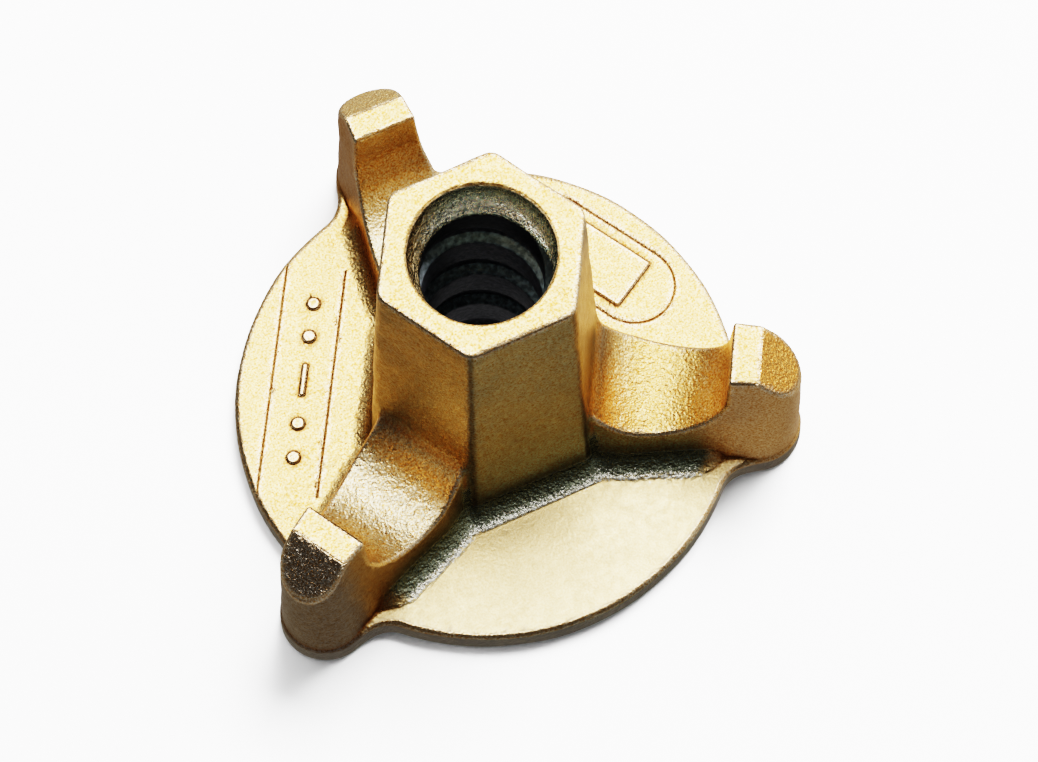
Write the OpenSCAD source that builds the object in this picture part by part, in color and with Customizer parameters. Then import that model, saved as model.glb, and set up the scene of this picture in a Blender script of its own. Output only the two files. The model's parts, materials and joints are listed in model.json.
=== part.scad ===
// Formwork wing nut: a one-piece casting for a coarse tie rod.
// A drafted hexagonal hub stands on a round flange, and three wings run out
// from it. Each wing is cut by a round saddle, which leaves an upright finger
// at the rim with a narrow flat top and a slope that falls outward.
// The origin is the centre of the flange's underside, and +Z points up the bore.

/* [Flange] */
// Diameter of the flange at its top edge
flange_d = 70; // [64:1:78]
// Thickness of the flange
flange_t = 4; // [3.5:0.5:5]

/* [Hub] */
// Height of the whole nut, from the underside to the hub's top
nut_h = 52.5; // [50:0.5:60]
// Distance across the hub's flats at its top
hub_af = 24.5; // [23:0.5:27]
// Draft of the hub's flats
hub_draft = 3.5; // [2:0.5:4]
// How far the hub's upright edges are rounded off, measured on the radius
edge_cut = 0.4; // [0.2:0.1:0.8]

/* [Bore] */
// Clear diameter inside the thread's crests
bore_d = 15.6; // [14:0.2:17]
// Diameter of the rough mouth at the hub's top
mouth_d = 18.6; // [18:0.2:20]
// Diameter at the bottom of the mouth
mouth_floor_d = 17.4; // [17.2:0.2:17.8]
// Depth of the mouth
mouth_depth = 5; // [3:0.5:8]

/* [Wings] */
// Height of the fingers above the underside
finger_top = 27.3; // [26:0.1:30]
// Distance from the axis to the finger's inner wall
finger_inner = 32.3; // [31.5:0.1:33.5]
// Length of the finger's flat top, measured outward
finger_flat = 3.8; // [3:0.1:4.5]
// Slope of the facet that falls outward from the finger's top
finger_slope = 47; // [40:1:55]
// Distance from the axis to the tip of a wing at the flange's top
wing_reach = 43.2; // [42:0.2:45]
// Radius of a wing's round end at the flange's top
wing_end_r = 5.8; // [5:0.1:6.5]
// Width of a wing where it leaves the hub, at the flange's top
wing_root_w = 15.8; // [15:0.2:16.4]
// Angle in plan by which each flank of a wing narrows towards its finger
flank_taper = 8.4; // [7:0.2:9]
// Angle in plan by which each side of a finger narrows outward
finger_taper = 3; // [2:0.5:4]
// Draft of a wing's sides and of its round end
wing_draft = 3.9; // [3:0.1:4.5]

/* [Blends] */
// Radius of the blend at the foot of the hub and of a wing's root
root_foot_r = 2.2; // [1.6:0.2:2.6]
// Radius of the blend at the foot of a wing's flank and finger
flank_foot_r = 3; // [2.8:0.2:3.6]

/* [Saddles] */
// Radius of the round saddle between hub and finger
saddle_r = 9; // [8.5:0.1:9.2]
// Height of the saddle's centre above the underside
saddle_z = 21.4; // [20:0.1:23]

/* [Lobes] */
// Width of the ledge that a lobe leaves around the foot of a wing's round end
lobe_ledge = 0.5; // [0.2:0.1:1]
// Radius of the hollow where the lobe runs into the round rim
lobe_hollow_r = 4.5; // [3:0.5:6]

/* [Hidden] */

wing_angles = [90, 210, 330];
flat_angles = [30, 150, 270];
gold = "#C9A227";

fine = 96; // sides of a round surface
sink = 1; // how far a joined piece reaches into its neighbour
bite = 0.05; // how far a blend's curve enters the surfaces that it meets

rim_r = flange_d / 2;
seat = flange_t - sink; // level inside the flange where hub and wings begin
corner = 1 / cos(30); // corner radius of a hexagon whose apothem is 1
wing_start = hub_af / 2 - sink; // where a wing begins, inside the hub
wing_end = wing_reach - wing_end_r;
lobe_r = wing_end_r + lobe_ledge;
finger_outer = finger_inner + finger_flat;
saddle_u = finger_inner - saddle_r;
far = 2 * wing_reach; // further out than any surface of the nut

// The three straight stretches of a wing's side in plan, from the hub outward.
// Each is [taper, distance from the axis to its line], at the flange's top.
neck_w = wing_end_r / cos(finger_taper) + (wing_end - finger_inner) * tan(finger_taper);
root_line = [0, wing_root_w / 2];
flank_line = [flank_taper, neck_w * cos(flank_taper) + finger_inner * sin(flank_taper)];
finger_line = [finger_taper, wing_end_r + wing_end * sin(finger_taper)];

// Direction in plan that stands off a side with the given taper
function outward(taper) = [sin(taper), cos(taper)];

// Distance from the axis to the hub's flats at height z
function apothem_at(z) = hub_af / 2 + (nut_h - z) * tan(hub_draft);

// Radius of a wing's round end at height z
function end_r(z) = wing_end_r - (z - flange_t) * tan(wing_draft);

// Low slab whose edge is hollowed into a concave blend, against a wall that leans
// away by its draft. The line of the wall's foot is given as [taper, distance], and
// the slab runs along it from one distance to another.
module foot_slab(line, draft, radius, from, to) {
    reach = radius - bite;
    centre = [reach * (1 / cos(draft) - tan(draft)), reach];
    toe = centre.x - sqrt(radius * bite); // just under the flange's top
    rotate(-line[0]) translate([from, line[1], flange_t])
        rotate([90, 0, 90]) linear_extrude(to - from) difference() {
            translate([-far, -sink]) square([far + toe, sink + reach]);
            translate(centre) circle(radius, $fn = fine);
        }
}

// Round flange with a lobe under the round end of each wing
module flange() {
    cylinder(h = flange_t, r = rim_r, $fn = 2 * fine);
    for (a = wing_angles) rotate(a) {
        translate([wing_end, 0, 0]) cylinder(h = flange_t, r = lobe_r, $fn = fine);
        lobe_neck();
    }
}

// Neck that joins a lobe to the rim, hollowed by a round on either side
module lobe_neck() {
    to_axis = rim_r + lobe_hollow_r - bite;
    to_lobe = lobe_r + lobe_hollow_r - bite;
    x = (to_axis ^ 2 + wing_end ^ 2 - to_lobe ^ 2) / (2 * wing_end);
    y = sqrt(to_axis ^ 2 - x ^ 2);
    inner = wing_start / x;
    linear_extrude(flange_t) difference() {
        polygon([inner * [x, -y], [x, -y], [x, y], inner * [x, y]]);
        for (side = [1, -1]) translate([x, side * y]) circle(lobe_hollow_r, $fn = fine);
    }
}

// All that lies inside the drafted flats which face the given angles
module within_flats(angles) {
    intersection_for(a = angles) rotate(a)
        translate([apothem_at(0), 0, 0]) rotate([0, -hub_draft, 0])
            translate([-far, -far, -sink]) cube([far, 2 * far, far]);
}

// Drafted hexagonal hub. Its free flats run on until they meet the wings' sides,
// and its upright edges are rounded off by a cone.
module hub() {
    intersection() {
        within_flats(flat_angles);
        union() {
            intersection() {
                within_flats(wing_angles);
                translate([0, 0, seat]) cylinder(
                    h = nut_h - seat,
                    r1 = apothem_at(seat) * corner - edge_cut,
                    r2 = apothem_at(nut_h) * corner - edge_cut,
                    $fn = fine
                );
            }
            for (a = wing_angles) rotate(a) wing_outline();
        }
    }
}

// Blends at the foot of the hub's free flats. Their slabs meet inside the wings.
module hub_feet() {
    intersection_for(a = flat_angles) rotate(a - 90)
        foot_slab([0, apothem_at(flange_t)], hub_draft, root_foot_r, -far, far);
}

// Side view of a wing, across its whole width: the round saddle, the finger with
// its flat top, and the slope that falls outward
module wing_outline() {
    slope_end = finger_outer + (finger_top - seat) / tan(finger_slope);
    rotate([90, 0, 0]) linear_extrude(far, center = true) difference() {
        polygon([
            [wing_start, seat],
            [slope_end, seat],
            [finger_outer, finger_top],
            [finger_inner, finger_top],
            [finger_inner, saddle_z],
            [wing_start, saddle_z],
        ]);
        translate([saddle_u, saddle_z]) circle(saddle_r, $fn = fine);
    }
}

// Everything on the wing's side of a drafted wall that stands on the given line
module behind_wall(line) {
    rotate(-line[0]) translate([0, line[1], flange_t]) rotate([wing_draft, 0, 0])
        translate([-far, -far, -far]) cube([2 * far, far, 2 * far]);
}

// What lies between a wing's two sides: walls at full height, or the slabs at their
// foot where the radius of a blend is given
module between_sides(line, blend_r) {
    intersection_for(flip = [0, 1]) mirror([0, flip, 0]) {
        if (blend_r > 0) foot_slab(line, wing_draft, blend_r, wing_start, wing_end);
        else behind_wall(line);
    }
}

// The plan of a wing: inside the root and flank lines, and from the neck the finger line
module wing_sides(root_blend_r = 0, flank_blend_r = 0) {
    intersection() {
        between_sides(root_line, root_blend_r);
        between_sides(flank_line, flank_blend_r);
    }
    between_sides(finger_line, flank_blend_r);
}

// All that lies short of the lines where a wing's sides run into its round end
module short_of_end() {
    tip = [wing_end, 0] + far * outward(finger_taper);
    linear_extrude(nut_h)
        polygon([[wing_start, -far], [tip.x, -tip.y], [wing_end, 0], tip, [wing_start, far]]);
}

module wing() {
    intersection() {
        wing_outline();
        union() {
            intersection() {
                wing_sides();
                short_of_end();
            }
            translate([wing_end, 0, 0]) cylinder(h = nut_h, r1 = end_r(0), r2 = end_r(nut_h), $fn = fine);
        }
    }
}

// Blends at the foot of a wing's sides, cut off just inside the rim
module wing_feet() {
    intersection() {
        wing_sides(root_foot_r, flank_foot_r);
        cylinder(h = nut_h, r = rim_r - bite, $fn = 2 * fine);
    }
}

// The bore, straight from the underside up to the rough cone of its mouth
module bore() {
    mouth_z = nut_h - mouth_depth;
    translate([0, 0, -sink]) cylinder(h = nut_h + 2 * sink, d = bore_d, $fn = fine);
    translate([0, 0, mouth_z]) cylinder(h = mouth_depth, d1 = mouth_floor_d, d2 = mouth_d, $fn = fine);
    translate([0, 0, nut_h]) cylinder(h = sink, d = mouth_d, $fn = fine);
}

module wing_nut() {
    color(gold) difference() {
        union() {
            flange();
            hub();
            hub_feet();
            for (a = wing_angles) rotate(a) {
                wing();
                wing_feet();
            }
        }
        bore();
    }
}

wing_nut();
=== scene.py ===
import json
import math

import bpy
import numpy as np
from mathutils import Matrix, Vector


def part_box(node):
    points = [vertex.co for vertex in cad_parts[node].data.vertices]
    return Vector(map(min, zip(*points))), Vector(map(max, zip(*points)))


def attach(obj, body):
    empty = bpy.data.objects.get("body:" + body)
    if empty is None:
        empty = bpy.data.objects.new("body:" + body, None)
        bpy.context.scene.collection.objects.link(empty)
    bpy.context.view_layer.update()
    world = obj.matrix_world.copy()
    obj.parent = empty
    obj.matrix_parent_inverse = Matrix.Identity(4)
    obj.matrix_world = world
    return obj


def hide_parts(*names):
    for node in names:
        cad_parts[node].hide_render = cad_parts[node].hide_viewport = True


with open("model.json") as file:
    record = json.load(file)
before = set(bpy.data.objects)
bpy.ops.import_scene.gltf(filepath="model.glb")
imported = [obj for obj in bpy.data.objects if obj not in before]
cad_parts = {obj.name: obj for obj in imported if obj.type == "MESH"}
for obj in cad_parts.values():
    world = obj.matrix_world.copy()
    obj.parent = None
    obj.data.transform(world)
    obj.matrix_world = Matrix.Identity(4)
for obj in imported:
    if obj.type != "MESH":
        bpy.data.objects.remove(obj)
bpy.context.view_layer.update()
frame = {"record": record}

# A cast and plated formwork wing nut. The CAD part gives the overall size and the
# bore. The casting is drawn here as one distance field, whose blends, rounded edges,
# rod thread and marks run into each other as they do in a casting, and that field is
# turned into a mesh which is finest along its edges. Lengths are in millimetres until
# the mesh is made.

MM = 0.001
node_low, node_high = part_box("wing_nut")
mounts = {m["name"]: m for m in frame["record"]["mounts"]}

# ---------------------------------------------------------------- sizes

nut_h = node_high.z / MM
rim_r = -node_low.y / MM
lobe_reach = node_high.y / MM
crest_r = mounts["tie_rod_bore"]["dims"]["r_mm"]

flange_t = 4.0
flange_edge_r = 0.8
rim_draft = math.radians(3)
lobe_r = 6.3
lobe_hollow_r = 4.5
wing_end = lobe_reach - lobe_r

hub_half = 12.25            # from the axis to a flat, at the hub's top
hub_draft = math.radians(3.5)
hub_corner_r = 2.1
hub_edge_r = 0.45
hub_turn = 60               # degrees between two flats

wing_end_r = 5.8
wing_draft = math.radians(3.9)
wing_edge_r = 0.5
root_half = 7.9
flank_taper = math.radians(8.4)
finger_taper = math.radians(3)
finger_top = 27.3
finger_inner = 32.3
finger_outer = 36.1
finger_slope = math.radians(47)
saddle_r = 9.1
saddle_z = 21.4
saddle_u = finger_inner - saddle_r
wing_top_drop = 0.6         # how far a wing's top, by the hub, lies under the saddle's centre
side_r = 9.0                # rounds the turns of a wing's side in plan

foot_r = 3.0                # blend where hub and wings meet the flange
web_r = 6.0                 # blend where a wing's side leaves the hub
saddle_web_r = 0.8          # blend where its saddle leaves the hub
ledge_r = 0.35              # what is left of the blend on a lobe
lower_edge_r = 0.3          # edge of the underside
bore_edge_r = 0.45          # edges of the bore's two ends

pitch = 10.0
thread_depth = 1.1
thread_start = 1.2
flank_start = 0.50          # where a flank leaves the crest, as a share of half a turn
flank_end = 0.76            # where it reaches the groove's full depth
mouth_r = 9.3
mouth_depth = 5.4
mouth_curve = 2.2           # how late the mouth's wall turns in toward the thread
mouth_rough = 0.05
bore_blend_r = 0.3          # where thread, mouth and lead-in run together

mark_u = 25.5               # distance of the marks from the axis
mark_height = 0.38
line_depth = 0.17
pad_sector = 30             # directions of the two marked sectors, in degrees
pip_sector = 150
pip_places = (-11.5, -6.5, 6.5, 11.5)
pip_r = 0.9

wave = 0.05                 # height of the casting's slow waves


# ---------------------------------------------------------------- distance field

def meet(a, b, r, turn=90):
    """Intersection of two distances, with its edge rounded to radius r.

    The two surfaces lean the given number of degrees from one another.
    """
    c = math.cos(math.radians(turn))
    past_a, past_b = a + r, b + r
    across = np.maximum(past_a**2 + past_b**2 - 2 * c * past_a * past_b, 0)
    corner = np.sqrt(across) / math.sin(math.radians(turn))
    on_corner = (past_a > c * past_b) & (past_b > c * past_a)
    return np.where(on_corner, corner - r, np.maximum(a, b))


def join(a, b, r, turn=90):
    """Union of two distances, with a concave blend of radius r."""
    return -meet(-a, -b, r, turn)


def smooth(edge_0, edge_1, x):
    """A soft step from 0 at edge_0 to 1 at edge_1. Either edge may be the larger one."""
    t = np.clip((x - edge_0) / (edge_1 - edge_0), 0, 1)
    return t * t * (3 - 2 * t)


def ripple(p, wavelength, count, seed):
    """Smooth noise of about -1 to 1: waves in several directions, added up."""
    random = np.random.default_rng(seed)
    total = np.zeros(len(p))
    for _ in range(count):
        way = random.normal(size=3)
        way *= 2 * math.pi / (np.linalg.norm(way) * wavelength * random.uniform(0.7, 1.5))
        total += np.sin(p @ way + random.uniform(0, 2 * math.pi))
    return total / math.sqrt(count)


def fold(x, y):
    """Turns each third of the nut onto the wing along +Y: distance along it and beside it."""
    angle = np.arctan2(y, x) - math.pi / 2
    third = 2 * math.pi / 3
    angle = angle - third * np.round(angle / third)
    r = np.hypot(x, y)
    return r * np.cos(angle), np.abs(r * np.sin(angle))


def toward_free_flat(u, w):
    """Distance from the axis toward the nearest flat that has no wing."""
    return u * math.cos(math.pi / 3) + w * math.sin(math.pi / 3)


def hub_field(u, w, z):
    """Distance from the tapered hexagon hub."""
    half = hub_half + (nut_h - z) * math.tan(hub_draft)
    sides = meet(u - half, toward_free_flat(u, w) - half, hub_corner_r, hub_turn) * math.cos(hub_draft)
    return meet(sides, z - nut_h, hub_edge_r)


def wing_plan(u, w, z):
    """Distance from the wing's sides and round end."""
    inset = (z - flange_t) * math.tan(wing_draft)
    neck = wing_end_r / math.cos(finger_taper) + (wing_end - finger_inner) * math.tan(finger_taper)
    root = w - root_half
    flank = (u - finger_inner) * math.sin(flank_taper) + (w - neck) * math.cos(flank_taper)
    finger = (u - wing_end) * math.sin(finger_taper) + w * math.cos(finger_taper) - wing_end_r
    root_turn = math.degrees(flank_taper)
    neck_turn = math.degrees(flank_taper - finger_taper)
    side = join(meet(root, flank, side_r, root_turn), finger, side_r, neck_turn)
    end = np.hypot(u - wing_end, w) - wing_end_r
    past_end = u > wing_end + w * math.tan(finger_taper)
    return (np.where(past_end, end, side) + inset) * math.cos(wing_draft)


def wing_outline(u, z):
    """Distance from the saddle, the finger's top and its slope, as seen from the wing's side."""
    below = np.hypot(u - saddle_u, z - saddle_z)
    saddle = saddle_r - np.where(z < saddle_z, below, np.abs(u - saddle_u))
    top = z - np.where(u < saddle_u, saddle_z - wing_top_drop, finger_top)
    slope = (u - finger_outer) * math.sin(finger_slope) + (z - finger_top) * math.cos(finger_slope)
    return meet(meet(top, slope, wing_edge_r, math.degrees(finger_slope)), saddle, wing_edge_r)


def flange_field(u, w, z):
    """Distance from the round flange with its three lobes."""
    plan = join(np.hypot(u, w) - rim_r, np.hypot(u - wing_end, w) - lobe_r, lobe_hollow_r)
    side = plan + z * math.tan(rim_draft)
    return meet(side, np.abs(z - flange_t / 2) - flange_t / 2, flange_edge_r)


def thread_field(p):
    """The hollow of the bore: the rod's right-hand thread and the rough mouth above it."""
    x, y, z = p.T
    r = np.hypot(x, y)
    turn = (z + thread_start) / pitch - np.arctan2(y, x) / (2 * math.pi)
    from_crest = np.abs(2 * (turn - np.floor(turn)) - 1)
    thread = r - crest_r - thread_depth * smooth(flank_start, flank_end, from_crest)
    depth = nut_h - z
    rough = mouth_rough * ripple(p, wavelength=2.2, count=14, seed=5) * smooth(0.3, 1.5, depth)
    share = np.clip(depth / mouth_depth, 0, 1.3)
    lean = 0.85                 # the wall leans, so a gap along the radius is more than the distance
    mouth = (r - mouth_r + (mouth_r - crest_r) * share**mouth_curve + rough) * lean
    lead_in = r - crest_r - thread_depth + z
    return join(join(thread, mouth, bore_blend_r), lead_in, bore_blend_r)


def stadium(x, y, half_length, half_width):
    past = np.maximum(np.abs(x) - (half_length - half_width), 0)
    return np.hypot(past, y) - half_width


def rectangle(x, y, half_length, half_width, corner_r):
    dx = np.abs(x) - half_length + corner_r
    dy = np.abs(y) - half_width + corner_r
    return np.hypot(np.maximum(dx, 0), np.maximum(dy, 0)) + np.minimum(np.maximum(dx, dy), 0) - corner_r


def sector(x, y, degrees):
    """Place in a flange sector: out from the mark's centre, and across it."""
    a = math.radians(degrees)
    return x * math.cos(a) + y * math.sin(a) - mark_u, y * math.cos(a) - x * math.sin(a)


def mark_lines(x, y):
    """Distance from the fine lines of the marks: one round the pad, two beside the pips."""
    out, across = sector(x, y, pad_sector)
    round_pad = np.abs(stadium(across, out, half_length=12.9, half_width=5.75))
    half_length = 17
    half_gap = 4.15
    centre = 0.25
    far = 9                     # past the ends of the two lines
    out, across = sector(x, y, pip_sector)
    beside_pips = np.where(np.abs(across) < half_length, np.abs(np.abs(out - centre) - half_gap), far)
    return np.minimum(round_pad, beside_pips)


def raised_marks(x, y):
    """Distance from the raised marks, less than zero on them: a plain pad, pips and a bar."""
    out, across = sector(x, y, pad_sector)
    nearest = rectangle(across, out, half_length=7.2, half_width=4.0, corner_r=0.4)
    out, across = sector(x, y, pip_sector)
    for place in pip_places:
        nearest = np.minimum(nearest, np.hypot(across - place, out) - pip_r)
    return np.minimum(nearest, rectangle(across, out, half_length=2.4, half_width=0.35, corner_r=0.3))


def marks(x, y):
    """Height of the cast marks above the flange."""
    raised = 1 - smooth(-0.2, 0.16, raised_marks(x, y))
    sunk = 1 - smooth(0.04, 0.30, mark_lines(x, y))
    return mark_height * raised - line_depth * sunk


def casting(p):
    """Distance from the surface of the whole nut, less than zero inside it."""
    x, y, z = p.T
    u, w = fold(x, y)
    hub = hub_field(u, w, z)
    plan, outline = wing_plan(u, w, z), wing_outline(u, z)
    wing = meet(plan, outline, wing_edge_r)
    beside = smooth(-1.0, 0.5, plan - outline)
    standing = join(hub, wing, saddle_web_r + (web_r - saddle_web_r) * beside, 90 - hub_turn)
    flange = flange_field(u, w, z)
    near_rim = smooth(rim_r - 3.5, rim_r - 0.3, np.hypot(x, y))
    body = join(standing, flange, foot_r + (ledge_r - foot_r) * near_rim)
    body = meet(meet(body, -z, lower_edge_r), -thread_field(p), bore_edge_r)
    on_top = (1 - smooth(0.6, 1.6, np.abs(z - flange_t))) * smooth(0.6, 1.8, standing)
    return body - marks(x, y) * on_top - wave * ripple(p, wavelength=9.0, count=10, seed=2)


# ---------------------------------------------------------------- field to mesh

def gradient(field, p, gap=0.03):
    """Slope of a field at points, which is its normal once it has length 1."""
    step = np.eye(3) * gap
    return np.stack([field(p + s) - field(p - s) for s in step], 1) / (2 * gap)


def settle(field, p, rounds=4):
    """Moves points onto the surface along its normal, by no more than a short stride a round."""
    stride = 0.4
    flattest = 0.05             # keeps a point from flying off where the field is flat
    for _ in range(rounds):
        g = gradient(field, p)
        size = np.maximum((g * g).sum(1), flattest)
        p = p - np.clip(field(p) / size, -stride, stride)[:, None] * g
    return p


def cell_beside(index, axis, back):
    """The cell beside a grid edge that runs along axis: 0 or 1 step back on each other axis."""
    cell = index.copy()
    cell[:, (axis + 1) % 3] -= back[0]
    cell[:, (axis + 2) % 3] -= back[1]
    return cell


def surface_net(field, low, high, step):
    """Vertices and triangles of a field's zero surface, one vertex for each cell it crosses."""
    around = ((1, 1), (0, 1), (0, 0), (1, 0))       # the four cells that share an edge, in turn
    axes = [np.arange(low[i], high[i] + step, step) for i in range(3)]
    shape = tuple(len(a) for a in axes)
    value = np.empty(shape)
    for i, x in enumerate(axes[0]):
        y, z = np.meshgrid(axes[1], axes[2], indexing="ij")
        value[i] = field(np.stack([np.full(y.size, x), y.ravel(), z.ravel()], 1)).reshape(y.shape)
    cells = tuple(n - 1 for n in shape)
    total = np.zeros(cells + (3,))
    count = np.zeros(cells)
    crossings = []
    for axis in range(3):
        v = np.moveaxis(value, axis, 0)
        crossed = (v[:-1] < 0) != (v[1:] < 0)
        where = np.argwhere(crossed)
        before, after = v[:-1][crossed], v[1:][crossed]
        share = before / (before - after)
        index = np.empty((len(where), 3), int)
        others = [i for i in range(3) if i != axis]
        index[:, axis], index[:, others[0]], index[:, others[1]] = where.T
        point = index.astype(float)
        point[:, axis] += share
        crossings.append((axis, index, before < 0))
        for back in ((0, 0), (0, 1), (1, 0), (1, 1)):
            cell = cell_beside(index, axis, back)
            keep = ((cell >= 0) & (cell < np.array(cells))).all(1)
            np.add.at(total, tuple(cell[keep].T), point[keep])
            np.add.at(count, tuple(cell[keep].T), 1)
    used = count > 0
    number = np.full(cells, -1)
    number[used] = np.arange(used.sum())
    points = np.array(low) + total[used] / count[used][:, None] * step
    triangles = []
    for axis, index, inside_first in crossings:
        quad = np.stack([number[tuple(cell_beside(index, axis, back).T)] for back in around], 1)
        quad[~inside_first] = quad[~inside_first][:, ::-1]
        triangles += [quad[:, [0, 1, 2]], quad[:, [0, 2, 3]]]
    return points, np.concatenate(triangles)


def refine(field, p, triangles, tolerance, shortest):
    """Splits the edges whose middle stands off the surface, and closes the triangles round them.

    Beside the marks it splits every edge that is longer than mark_edge, for the fine lines.
    """
    mark_edge = 0.22
    edges = np.concatenate([triangles[:, pair] for pair in ([0, 1], [1, 2], [2, 0])])
    edges = np.sort(edges, 1)
    edges, where = np.unique(edges, axis=0, return_inverse=True)
    where = where.reshape(3, -1).T
    middle = (p[edges[:, 0]] + p[edges[:, 1]]) / 2
    length = np.linalg.norm(p[edges[:, 0]] - p[edges[:, 1]], axis=1)
    off = np.abs(field(middle))
    x, y, z = middle.T
    to_mark = np.minimum(mark_lines(x, y), np.abs(raised_marks(x, y)))
    by_mark = (to_mark < 0.4) & (np.abs(z - flange_t) < 0.6)
    marked = (off > tolerance) & (length > shortest) | by_mark & (length > mark_edge)
    number = np.full(len(edges), -1)
    number[marked] = len(p) + np.arange(marked.sum())
    p = np.concatenate([p, settle(field, middle[marked], 3)])
    new = number[where]
    made = []
    split = new >= 0
    for turn in range(3):
        t, n, s = (np.roll(a, -turn, axis=1) for a in (triangles, new, split))
        one = s[:, 0] & ~s[:, 1] & ~s[:, 2]
        a, b, c, m = t[one, 0], t[one, 1], t[one, 2], n[one, 0]
        made += [np.stack([a, m, c], 1), np.stack([m, b, c], 1)]
        two = s[:, 0] & s[:, 1] & ~s[:, 2]
        a, b, c, m, k = t[two, 0], t[two, 1], t[two, 2], n[two, 0], n[two, 1]
        made += [np.stack([m, b, k], 1), np.stack([a, m, k], 1), np.stack([a, k, c], 1)]
    whole = ~split.any(1)
    every = split.all(1)
    t, n = triangles[every], new[every]
    made += [triangles[whole], n]
    made += [np.stack([t[:, i], n[:, i], n[:, (i + 2) % 3]], 1) for i in range(3)]
    return p, np.concatenate(made)


def build_casting():
    """Points, triangles and normals of the casting."""
    margin = 1.5
    cell = 0.82
    passes = ((0.02, 0.4), (0.013, 0.25), (0.0125, 0.13))       # tolerance and shortest edge split
    low = [node_low.x / MM - margin, node_low.y / MM - margin, -margin]
    high = [node_high.x / MM + margin, node_high.y / MM + margin, nut_h + margin]
    points, triangles = surface_net(casting, low, high, cell)
    points = settle(casting, points)
    for tolerance, shortest in passes:
        points, triangles = refine(casting, points, triangles, tolerance, shortest)
    points[:, 2] = np.maximum(points[:, 2], 0)
    normals = gradient(casting, points)
    normals /= np.linalg.norm(normals, axis=1)[:, None]
    return points, triangles, normals


# ---------------------------------------------------------------- plating and painted light, point by point

# The colours are what the plated metal mirrors of a white light. The photograph's nut mirrors
# a room that isn't built here, so its darker and greener faces carry painted shade, painted
# highlights and painted reflections of that room, laid over the gold.

GOLD = (0.82, 0.55, 0.22)
FRONT_TOP = (0.86, 0.66, 0.33)

# painted shade on the steep faces, with a duller variant mixed in at random
SIDE_SHADE = (0.56, 0.37, 0.18)
SIDE_SHADE_DULL = (0.46, 0.32, 0.18)
# a warmer painted tint on the back wing's sides
SIDE_BACK_PAINTED_TINT = (1.1, 0.85, 0.6)
# a greener painted reflection low on the front wings
SIDE_LOW_REFLECTION = (0.50, 0.58, 0.46)
# painted shade on the left wing's end
END_LEFT_SHADE = (0.22, 0.20, 0.19)

# the hub's flats: a painted shade tone, and greener painted reflections toward the front and at the foot
HUB_SHADE = (0.45, 0.375, 0.215)
HUB_FRONT_REFLECTION = (0.36, 0.37, 0.25)
HUB_FOOT_REFLECTION = (0.34, 0.40, 0.33)

# a painted highlight where the saddles face up, yellower on the right
SADDLE_HIGHLIGHT = (0.98, 0.86, 0.57)
SADDLE_RIGHT_HIGHLIGHT = (0.80, 0.53, 0.20)
# painted shade on the saddles' walls by the hub, darker on the right, and painted light toward the finger
SADDLE_INNER_SHADE = (0.25, 0.30, 0.28)
SADDLE_INNER_RIGHT_SHADE = (0.16, 0.115, 0.065)
SADDLE_OUTER_LIGHT = (0.80, 0.62, 0.36)

# painted light and shade on the fingers' sloped facets: shaded on the left, lit on the right and back
FACET_LEFT_SHADE = (0.42, 0.38, 0.32)
FACET_RIGHT_LIGHT = (0.88, 0.45, 0.13)
FACET_BACK_LIGHT = (1.0, 0.72, 0.34)

# painted shade in the hollow blends at the foot
HOLLOW_SHADE = (0.17, 0.205, 0.16)
# painted shade in creases
GROOVE_SHADE = (0.30, 0.15, 0.05)
# a painted highlight along outer edges
EDGE_HIGHLIGHT = (0.95, 0.82, 0.60)
CORNER = (0.10, 0.09, 0.07)
# painted shade on the rim's lower side
RIM_SHADE = (0.155, 0.157, 0.168)

MOUTH = (0.86, 1.0, 0.82)
MOUTH_LEFT = (1.0, 0.74, 0.42)
THREAD = (0.085, 0.085, 0.10)
THREAD_LIT = (0.27, 0.335, 0.34)


def blend(colour, other, share):
    """Moves each point's colour toward another by its share."""
    return colour + (np.array(other) - colour) * share[:, None]


def dim(colour, share):
    """Takes a share of each point's colour away."""
    return colour * (1 - share)[:, None]


def curvature(p, gap=0.4):
    """How the surface bends: above zero on an outer edge, below zero in a hollow."""
    around = sum(casting(p + s) + casting(p - s) for s in np.eye(3) * gap)
    return (around - 6 * casting(p)) / (gap * gap)


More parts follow.
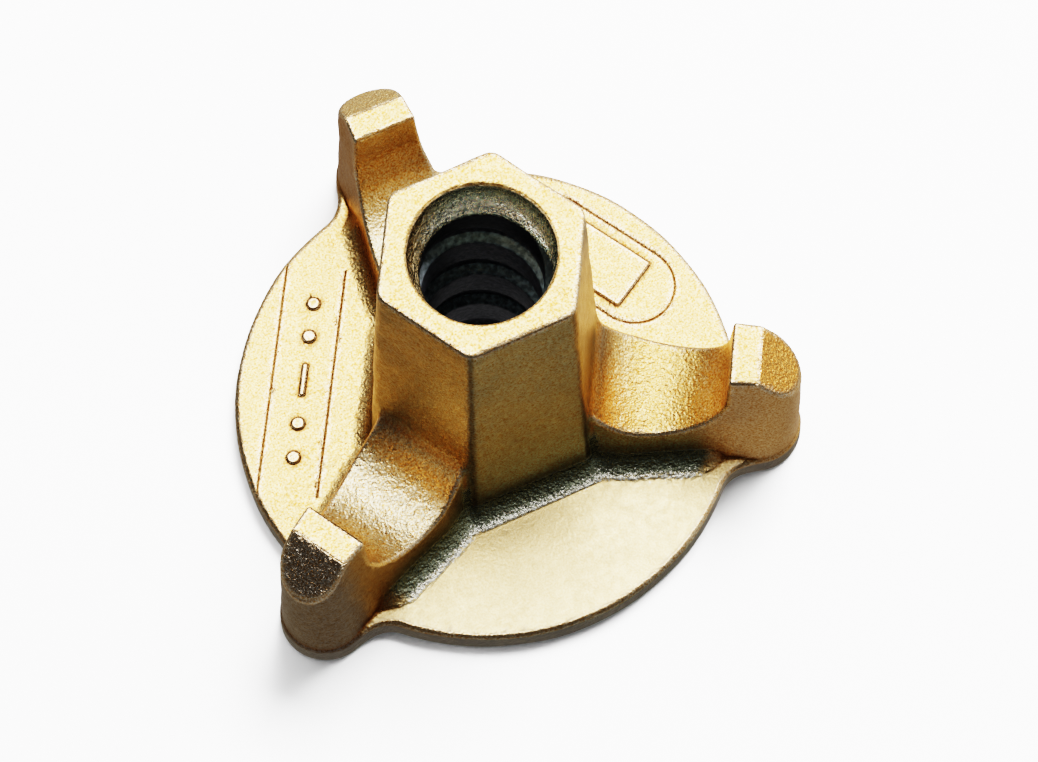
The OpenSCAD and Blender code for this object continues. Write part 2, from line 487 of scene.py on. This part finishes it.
class Skin:
    """Points of the casting with their normals, and masks from 0 to 1 that say where they lie."""

    def __init__(self, p, n):
        self.x, self.y, self.z = p.T
        self.to_right, self.to_back, self.up = n.T
        self.u, self.w = fold(self.x, self.y)
        self.r = np.hypot(self.x, self.y)
        self.depth = nut_h - self.z
        self.behind = self.y / np.maximum(self.r, 1)        # -1 at the front, 1 at the back
        self.bend = curvature(p)
        self.drift = ripple(p, wavelength=14, count=12, seed=31) * 0.5 + 0.5    # about 0 to 1
        self.find_faces()
        self.find_saddle()
        self.find_blends()

    def even(self, colour):
        """One colour at every point."""
        return np.tile(colour, (len(self.x), 1))

    def find_faces(self):
        """The mouth, the hub's flats, the fingers' sloped facets, the front flange top and the rim."""
        u, z, up = self.u, self.z, self.up
        self.toward_front = smooth(-0.2, -0.6, self.behind)
        self.upright = smooth(0.45, 0.15, up)
        self.steep = smooth(0.12, 0.55, 1 - up)
        self.inside = self.r < mouth_r + 0.5
        self.mouth = self.inside * smooth(0.15, 0.5, self.depth)
        self.on_hub = smooth(18.5, 16.5, self.r) * self.upright
        self.facet = smooth(0.5, 0.6, up) * smooth(0.8, 0.72, up) * (u > finger_outer - 0.5) * (z > 12)
        self.front = self.toward_front * smooth(0.93, 0.985, up)
        self.front *= 1 - smooth(flange_t + 0.4, flange_t + 1.2, z)
        self.front *= smooth(17, 18.5, toward_free_flat(u, self.w))
        # the rim's lower side toward the front, which takes painted shade
        self.rim = self.upright * smooth(3.5, 3.0, z) * (z > 0.05) * smooth(0.35, -0.25, self.behind)

    def find_saddle(self):
        """The whole sweep of a saddle, and the part of it that faces up."""
        u, w, z = self.u, self.w, self.z
        within = (u > 13.5) & (u < finger_inner + 1) & (z > 11) & (z < finger_top - 0.4)
        self.on_saddle = smooth(0.0, 0.4, wing_outline(u, z) - wing_plan(u, w, z)) * within
        self.on_saddle *= smooth(0.2, 1.6, hub_field(u, w, z))
        self.saddle = self.on_saddle * smooth(0.55, 0.85, self.up) * smooth(17, 20, u)

    def find_blends(self):
        """Outer edges, the hub's corners, and the hollow blends at the foot of hub and wings."""
        z, up, outside = self.z, self.up, ~self.inside
        self.edge = smooth(0.5, 1.4, self.bend) * smooth(-0.2, 0.3, up) * outside
        from_corner = np.abs(np.arctan2(self.w, self.u) - math.pi / 6)
        self.corner = smooth(0.032, 0.012, from_corner) * self.upright * (z > flange_t + 1)
        hollow = smooth(0.04, 0.36, -self.bend) * smooth(1.0, 0.9, up)
        hollow *= smooth(14, 11, z) * smooth(33, 30, self.u) * (0.3 + 0.7 * self.toward_front)
        valley = smooth(0.1, 0.3, up) * smooth(1.0, 0.985, up) * smooth(13, 9, z) * smooth(33, 30, self.r)
        self.hollow = np.maximum(hollow, valley * self.toward_front) * outside
        self.groove = smooth(0.3, 1.3, -self.bend) * outside * (1 - self.hollow)
        # where pale glints are painted: low in the front blends and in the lower mouth
        run_out = 1 - np.sqrt(np.clip(1 - up**2, 0, 1))     # 0 at the blend's top, 1 on the flange
        self.painted_glints = self.hollow * self.toward_front * smooth(0.3, 1.0, run_out)
        lower_mouth = smooth(0.25 * mouth_depth, 0.8 * mouth_depth, self.depth) * (self.depth < mouth_depth)
        self.painted_glints += 0.75 * self.mouth * lower_mouth * smooth(-8, -2, self.x)


def hub_painted_shading(s):
    """The hub's flats in painted light and shade: lighter and greener toward the front, darker at the foot
    and the right.
    """
    painted_lit = 0.52 + 0.26 * smooth(-0.5, -0.95, s.to_back) + 0.2 * s.drift
    painted_lit *= 0.55 + 0.45 * smooth(6, 24, s.z)
    colour = s.even(HUB_SHADE) * painted_lit[:, None]
    colour = dim(colour, 0.55 * smooth(0.5, 0.9, s.to_right))
    colour = blend(colour, HUB_FRONT_REFLECTION, 0.6 * smooth(-0.6, -0.95, s.to_back))
    return blend(colour, HUB_FOOT_REFLECTION, 0.85 * smooth(28, 9, s.z) * smooth(-0.1, -0.5, s.to_back))


def steep_painted_shading(s):
    """The steep faces in painted light and shade: wing sides, finger ends, the saddles' walls and the hub.
    """
    colour = blend(s.even(SIDE_SHADE), SIDE_SHADE_DULL, np.clip(s.drift, 0, 1))
    # painted shade: darker to the left and near the hub, lighter to the right
    colour *= ((0.48 + 1.04 * smooth(-40, 40, s.x)) * (0.6 + 0.4 * smooth(17, 30, s.u)))[:, None]
    # a warmer painted tint on the back wing
    colour *= blend(s.even((1.0, 1.0, 1.0)), SIDE_BACK_PAINTED_TINT, smooth(10, 25, s.y))
    # the hub's flats take their painted light and shade
    colour = blend(colour, hub_painted_shading(s), s.on_hub)
    front_wing = s.toward_front * smooth(33, 27, s.u)
    low = front_wing * smooth(21, 8, s.z)
    # low on the front wings: a greener painted reflection, and painted shade toward the left
    colour = blend(colour, SIDE_LOW_REFLECTION, 0.9 * low * smooth(-15, 5, s.x))
    colour = dim(colour, 0.45 * low * smooth(2, -10, s.x))
    # painted shade low in the front wings' blends
    colour = blend(colour, HOLLOW_SHADE, 0.8 * front_wing * smooth(12.5, 6.5, s.z))
    # painted shade on the left wing's end
    left_end = smooth(34, 37, s.u) * smooth(-5, -20, s.x) * (s.y < 0)
    colour = blend(colour, END_LEFT_SHADE, 0.8 * left_end)
    # the saddles' walls: painted shade by the hub, painted light toward the finger, dimmed where they face
    # the front
    inner = s.on_saddle * smooth(21, 16, s.u)
    outer = s.on_saddle * smooth(22, 26, s.u)
    colour = blend(colour, SADDLE_INNER_SHADE, inner)
    colour = blend(colour, SADDLE_INNER_RIGHT_SHADE, inner * smooth(0, 8, s.x))
    colour = blend(colour, SADDLE_OUTER_LIGHT, outer)
    return dim(colour, 0.45 * outer * smooth(-0.2, -0.6, s.to_back))


def mouth_colour(s):
    """The rough mouth: greenish, golden on the left, and darker just under its rim, where its shade is
    painted.
    """
    colour = blend(s.even(MOUTH), MOUTH_LEFT, smooth(2, -7, s.x))
    return colour * (0.28 + 0.72 * smooth(0.15 * mouth_depth, 0.6 * mouth_depth, s.depth))[:, None]


def thread_colour(s):
    """The thread: the flanks that face up are lit, and the part next to the mouth is in shadow."""
    colour = blend(s.even(THREAD), THREAD_LIT, smooth(0.1, 0.5, s.up) * smooth(-11, 2, s.x))
    return dim(colour, 0.9 * smooth(mouth_depth + 7, mouth_depth + 3, s.depth))


def colour_with_painted_light(s):
    """The colour of the whole nut: gold, with each kind of face laid over it in turn, most of them in
    painted light and shade.
    """
    colour = s.even(GOLD)
    # the steep faces take their painted shade
    colour = blend(colour, steep_painted_shading(s), s.steep * (1 - 0.5 * s.facet * smooth(-25, 5, s.x)))
    # painted highlight where the saddles face up, yellower on the right
    colour = blend(colour, SADDLE_HIGHLIGHT, s.saddle)
    colour = blend(colour, SADDLE_RIGHT_HIGHLIGHT, s.saddle * smooth(0, 10, s.x))
    # painted light and shade on the fingers' sloped facets, by wing
    colour = blend(colour, FACET_LEFT_SHADE, s.facet * smooth(-5, -20, s.x) * smooth(5, -5, s.y))
    colour = blend(colour, FACET_RIGHT_LIGHT, s.facet * smooth(10, 25, s.x))
    colour = blend(colour, FACET_BACK_LIGHT, s.facet * smooth(10, 25, s.y))
    # painted shade in the hollow blends at the foot
    colour = blend(colour, HOLLOW_SHADE, 0.95 * s.hollow)
    colour = blend(colour, FRONT_TOP, s.front)
    # painted shade in creases, the marks' lines among them
    colour = blend(colour, GROOVE_SHADE, 0.85 * s.groove)
    # a painted highlight along outer edges
    colour = blend(colour, EDGE_HIGHLIGHT, 0.7 * s.edge)
    colour = blend(colour, CORNER, 0.75 * s.corner)
    # painted shade on the rim's lower side, fading toward the back
    colour = blend(colour, RIM_SHADE, 0.92 * s.rim)
    colour = blend(colour, mouth_colour(s), s.mouth)
    return blend(colour, thread_colour(s), s.inside * smooth(mouth_depth, mouth_depth + 0.3, s.depth))


def plating_and_painted_light(s):
    """What the material reads at each point, by the attribute's name."""
    grain = 1 + 2.4 * s.facet - 0.6 * s.front + 3.0 * s.mouth - 0.35 * s.edge
    grain += 2.2 * s.hollow + 0.9 * s.on_saddle
    roughness = 0.28 + 0.05 * s.steep + 0.12 * s.front - 0.06 * s.edge
    roughness -= 0.10 * s.facet + 0.12 * s.hollow + 0.08 * s.mouth
    specks = 1 - 0.6 * s.front - 0.9 * s.mouth - 0.9 * np.maximum(s.hollow, s.rim)
    return {
        "plating_and_painted_light": np.column_stack([colour_with_painted_light(s), specks]),
        "grain": grain,
        "roughness": roughness,
        "painted_glints": s.painted_glints,
    }


def add_attribute(mesh, name, values):
    kind, key = ("FLOAT_COLOR", "color") if values.ndim == 2 else ("FLOAT", "value")
    layer = mesh.attributes.new(name, kind, "POINT")
    layer.data.foreach_set(key, values.astype(np.float32).ravel())


points, triangles, normals = build_casting()
mesh = bpy.data.meshes.new("plated_casting")
mesh.from_pydata((points * MM).tolist(), [], triangles.tolist())
mesh.update()
mesh.shade_smooth()
mesh.normals_split_custom_set_from_vertices(normals.tolist())
for name, values in plating_and_painted_light(Skin(points, normals)).items():
    add_attribute(mesh, name, values)
nut = bpy.data.objects.new("plated_casting", mesh)
bpy.context.collection.objects.link(nut)
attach(nut, "root")
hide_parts("wing_nut")


# ---------------------------------------------------------------- material

class Graph:
    """A node tree, whose nodes are made and linked in one call each, and its shader."""

    def __init__(self, owner, shader="Principled BSDF"):
        owner.use_nodes = True
        self.tree = owner.node_tree
        self.shader = self.tree.nodes[shader]

    def put(self, socket, value):
        if isinstance(value, bpy.types.NodeSocket):
            self.tree.links.new(value, socket)
        else:
            socket.default_value = value

    def set(self, name, value):
        self.put(self.shader.inputs[name], value)

    def add(self, kind, settings=(), **inputs):
        node = self.tree.nodes.new("ShaderNode" + kind)
        for key, value in dict(settings).items():
            setattr(node, key, value)
        for key, value in inputs.items():
            self.put(node.inputs[key.replace("_", " ")], value)
        return node

    def math(self, operation, a, b):
        node = self.add("Math", {"operation": operation})
        self.put(node.inputs[0], a)
        self.put(node.inputs[1], b)
        return node.outputs[0]

    def spread(self, value, low, high, to_low, to_high):
        node = self.add("MapRange", Value=value, From_Min=low, From_Max=high, To_Min=to_low, To_Max=to_high)
        return node.outputs[0]

    def tint(self, colour, other, share, blend_type="MIX"):
        node = self.add("Mix", {"data_type": "RGBA", "blend_type": blend_type}, Factor=share)
        a, b = (i for i in node.inputs if i.type == "RGBA")
        self.put(a, colour)
        self.put(b, other)
        return [o for o in node.outputs if o.type == "RGBA"][0]

    def noise(self, place, scale, detail):
        return self.add("TexNoise", Vector=place, Scale=scale, Detail=detail).outputs["Fac"]

    def attribute(self, name):
        return self.add("Attribute", {"attribute_name": name}).outputs


def plated_metal():
    """Yellow plating over a sand casting: grain, dull specks and pale painted glints."""
    material = bpy.data.materials.new("yellow_plating")
    g = Graph(material)
    place = g.add("TexCoord").outputs["Object"]
    plating_and_painted_light = g.attribute("plating_and_painted_light")
    fine = g.noise(place, scale=2600, detail=3)
    coarse = g.noise(place, scale=900, detail=2)

    height = g.math("ADD", g.math("MULTIPLY", fine, 0.75), g.math("MULTIPLY", coarse, 0.8))
    height = g.math("MULTIPLY", height, g.attribute("grain")["Fac"])
    g.set("Normal", g.add("Bump", Height=height, Distance=0.00012, Strength=1.0).outputs["Normal"])

    dull = g.tint(plating_and_painted_light["Color"], (0.66, 0.41, 0.18, 1), 1.0, "MULTIPLY")
    specks = g.spread(g.noise(place, scale=3800, detail=3), 0.36, 0.62, 1.0, 0.0)
    specks = g.math("MULTIPLY", specks, plating_and_painted_light["Alpha"])
    tone = g.tint(plating_and_painted_light["Color"], dull, specks)
    # pale painted glints, laid on the base colour
    share = g.attribute("painted_glints")["Fac"]
    crowding = g.noise(place, scale=2900, detail=3)
    crowding = g.math("ADD", crowding, g.math("MULTIPLY", share, 0.36))
    allowed = g.spread(share, 0.0, 0.1, 0.0, 1.0)
    painted_glints = g.math("MULTIPLY", g.spread(crowding, 0.66, 0.74, 0.0, 1.0), allowed)
    g.set("Base Color", g.tint(tone, (1.0, 0.98, 0.86, 1), painted_glints))

    g.set("Metallic", 1)
    g.set("Specular Tint", (0.88, 0.77, 0.60, 1))
    uneven = g.spread(coarse, 0.3, 0.7, -0.05, 0.07)
    g.set("Roughness", g.math("ADD", g.attribute("roughness")["Fac"], uneven))
    return material


def bare_thread():
    """The dark unplated iron down the bore."""
    material = bpy.data.materials.new("dark_thread")
    g = Graph(material)
    fine = g.noise(g.add("TexCoord").outputs["Object"], scale=1500, detail=3)
    colour = g.attribute("plating_and_painted_light")["Color"]
    dull = g.tint(colour, (0.45, 0.45, 0.45, 1), 1.0, "MULTIPLY")
    g.set("Base Color", g.tint(colour, dull, g.spread(fine, 0.65, 0.4, 0, 1)))
    g.set("Metallic", 0.4)
    g.set("Roughness", 0.45)
    g.set("Specular IOR Level", 0.15)
    g.set("Normal", g.add("Bump", Height=fine, Distance=0.00004, Strength=1.0).outputs["Normal"])
    return material


def thread_faces(points, triangles):
    """Which triangles are the bare thread, between the underside's edge and the mouth."""
    x, y, z = points[triangles].mean(1).T
    return (np.hypot(x, y) < crest_r + thread_depth + 0.15) & (z > 1) & (z < nut_h - mouth_depth - 0.3)


nut.data.materials.append(plated_metal())
nut.data.materials.append(bare_thread())
mesh.polygons.foreach_set("material_index", thread_faces(points, triangles).astype(np.int32))


# ---------------------------------------------------------------- floor, light, camera

def add_floor():
    """A pale ground for the picture, which the metal doesn't mirror and the part doesn't include."""
    material = bpy.data.materials.new("pale_floor")
    g = Graph(material)
    g.set("Base Color", (0.88, 0.88, 0.88, 1))
    g.set("Roughness", 0.8)
    bpy.ops.mesh.primitive_plane_add(size=8, location=(0, 0, 0))
    floor = bpy.context.object
    floor.name = "floor"
    floor.visible_glossy = False
    floor.data.materials.append(material)


def add_panel(name, width, depth, place, aim, radiance):
    """A soft panel of light at a place, facing a point. Radiance is what the metal reflects."""
    light = bpy.data.lights.new(name, "AREA")
    light.shape = "RECTANGLE"
    light.size, light.size_y = width, depth
    light.energy = radiance * math.pi * width * depth
    panel = bpy.data.objects.new(name, light)
    panel.location = place
    panel.rotation_mode = "QUATERNION"
    panel.rotation_quaternion = (Vector(aim) - Vector(place)).to_track_quat("-Z", "Y")
    bpy.context.collection.objects.link(panel)
    return panel


def add_world(pale, ambient, dark, bright, toward, below):
    """A pale room for the floor. The metal sees it dark, and brighter toward one side and below."""
    world = bpy.data.worlds.new("studio")
    g = Graph(world, "Background")
    place = g.add("TexCoord").outputs["Generated"]
    facing = g.add("VectorMath", {"operation": "DOT_PRODUCT"}, Vector=place)
    facing.inputs[1].default_value = toward
    height = g.add("SeparateXYZ", Vector=place).outputs["Z"]
    room = g.spread(facing.outputs["Value"], -0.1, 1, dark, bright)
    mirrored = g.math("ADD", room, g.spread(height, 0, -0.8, 0, below))
    rays = g.add("LightPath").outputs
    seen = g.add("Mix", A=ambient, B=pale, Factor=rays["Is Camera Ray"]).outputs["Result"]
    level = g.add("Mix", A=seen, B=mirrored, Factor=rays["Is Glossy Ray"]).outputs["Result"]
    g.set("Color", (1, 1, 1, 1))
    g.set("Strength", level)
    bpy.context.scene.world = world


def add_camera(azimuth, elevation, roll, distance, lens, aim):
    """A camera that looks at aim from a direction in degrees, and is tilted by roll."""
    a, e = math.radians(azimuth), math.radians(elevation)
    back = Vector((math.cos(a) * math.cos(e), math.sin(a) * math.cos(e), math.sin(e)))
    data = bpy.data.cameras.new("camera")
    data.lens = lens
    data.sensor_width = 36
    data.clip_start = 0.01
    camera = bpy.data.objects.new("camera", data)
    turn = (-back).to_track_quat("-Z", "Y").to_matrix() @ Matrix.Rotation(math.radians(roll), 3, "Z")
    camera.matrix_world = Matrix.Translation(Vector(aim) + back * distance) @ turn.to_4x4()
    bpy.context.collection.objects.link(camera)
    bpy.context.scene.camera = camera


add_floor()
add_world(pale=5, ambient=0.22, dark=0.08, bright=1.2, toward=(0.75, 0.5, 0.35), below=0.33)
add_panel("overhead", width=2.0, depth=1.0, place=(0.45, 0.53, 1.0), aim=(0.45, 0.53, 0), radiance=5.0)
add_panel("right_wall", width=0.9, depth=0.6, place=(1.1, 0.1, 0.55), aim=(0, 0, 0.02), radiance=1.2)
floor_light = add_panel(
    "floor_light", width=0.4, depth=0.4, place=(0.38, 0.30, 0.9), aim=(0, 0, 0), radiance=112)
floor_light.visible_glossy = False
add_camera(azimuth=-114.2, elevation=68.6, roll=-0.5, distance=0.385, lens=98, aim=(0.004, -0.002, 0.010))
view = bpy.context.scene.view_settings
view.view_transform = "Filmic"
view.look = "High Contrast"
